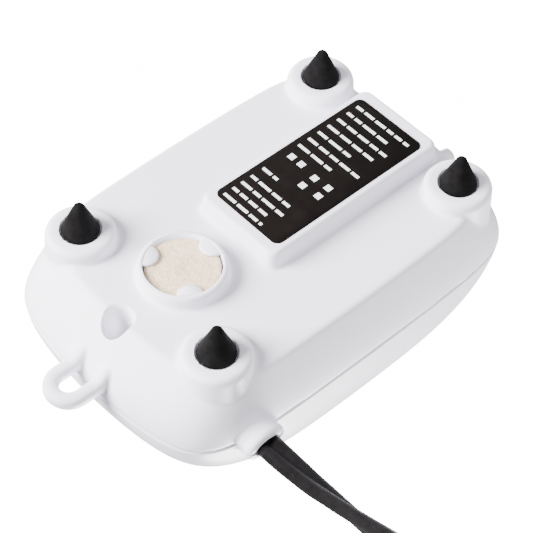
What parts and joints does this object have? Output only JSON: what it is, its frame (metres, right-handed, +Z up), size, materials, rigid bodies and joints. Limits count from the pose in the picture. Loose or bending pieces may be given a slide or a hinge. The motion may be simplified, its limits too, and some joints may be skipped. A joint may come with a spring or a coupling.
{
  "type": "aquarium air pump",
  "caption": "Small white aquarium air pump on rubber cone feet, with an electromagnetic diaphragm drive inside, a hang loop, a hose outlet and a coiled twin mains cord.",
  "frame": {"origin": "under the middle of the pump's own box, without the free cord, on the plane the tips of the four feet stand on", "axes": "+Z up, with the pump on its feet; +X along the housing, from the hang loop to the air outlet; +Y across it, to the side the mains cord leaves"},
  "size_m": [0.1713, 0.1737, 0.0498],
  "materials": {
    "white_plastic": "moulded white ABS, satin to semi-gloss",
    "foot_rubber": "moulded charcoal rubber, matt",
    "felt": "pressed cream wool felt",
    "label": "printed film label, satin, with plain white bars",
    "steel_screws": "zinc-plated steel",
    "inner_plastic": "unpainted natural nylon",
    "black_pvc": "soft black PVC, satin",
    "tie": "plastic-coated wire tie",
    "pins": "turned brass",
    "copper": "crimped tinned copper",
    "lead_insulation": "thin PVC insulation",
    "core_laminations": "stacked silicon steel, varnished",
    "enamelled_copper": "close-wound enamelled copper wire",
    "winding_tape": "amber polyester tape",
    "ferrite": "sintered ferrite",
    "inner_rubber": "soft moulded rubber",
    "silicone": "soft silicone hose"
  },
  "bodies": {
    "housing": {"lower_shell": "white_plastic", "upper_shell": "white_plastic", "housing_screw": "steel_screws", "foot_1": "foot_rubber", "foot_2": "foot_rubber", "foot_3": "foot_rubber", "foot_4": "foot_rubber", "filter_felt": "felt", "rating_label": "label", "cord_clamp": "inner_plastic", "clamp_screw_1": "steel_screws", "clamp_screw_2": "steel_screws", "cord_inner": "black_pvc", "splice_sleeve_1": "copper", "lead_wire_1": "lead_insulation", "splice_sleeve_2": "copper", "lead_wire_2": "lead_insulation", "laminated_core": "core_laminations", "core_screw_1": "steel_screws", "core_screw_2": "steel_screws", "bobbin": "inner_plastic", "winding": "enamelled_copper", "winding_tape": "winding_tape", "pivot_bush": "inner_rubber", "pivot_bracket": "inner_plastic", "bracket_screw_1": "steel_screws", "bracket_screw_2": "steel_screws", "diaphragm": "inner_rubber", "pump_head": "inner_plastic", "valve_plate": "inner_plastic", "head_gasket": "inner_rubber", "head_cover": "inner_plastic", "head_screw_1": "steel_screws", "head_screw_2": "steel_screws", "head_screw_3": "steel_screws", "head_screw_4": "steel_screws", "outlet_nozzle": "white_plastic", "air_hose": "silicone", "mains_cord": "black_pvc", "cord_tail": "black_pvc", "cord_coil": "black_pvc", "coil_tie": "tie", "plug_body": "black_pvc", "plug_pin_1": "pins", "plug_pin_2": "pins"},
    "arm": {"swing_arm": "inner_plastic", "magnet": "ferrite", "diaphragm_disc": "steel_screws", "diaphragm_screw": "steel_screws"},
    "inlet_valve": {"inlet_flap": "inner_rubber"},
    "outlet_valve": {"outlet_flap": "inner_rubber"}
  },
  "joints": [
    {"name": "arm_swing", "type": "hinge", "parent": "housing", "child": "arm", "pos_m": [-0.00325, -0.0199, 0.027], "axis": [0, 0, 1], "range_deg": [-2.5, 2.5], "stiffness_Nm_per_rad": 0.1, "deforming": ["diaphragm"]},
    {"name": "inlet_flap_lift", "type": "hinge", "parent": "housing", "child": "inlet_valve", "pos_m": [0.01515, -0.007, 0.0264], "axis": [0, 1, 0], "range_deg": [0, 12], "stiffness_Nm_per_rad": 0.00002},
    {"name": "outlet_flap_lift", "type": "hinge", "parent": "housing", "child": "outlet_valve", "pos_m": [0.01775, -0.007, 0.0344], "axis": [0, -1, 0], "range_deg": [0, 12], "stiffness_Nm_per_rad": 0.00002}
  ]
}
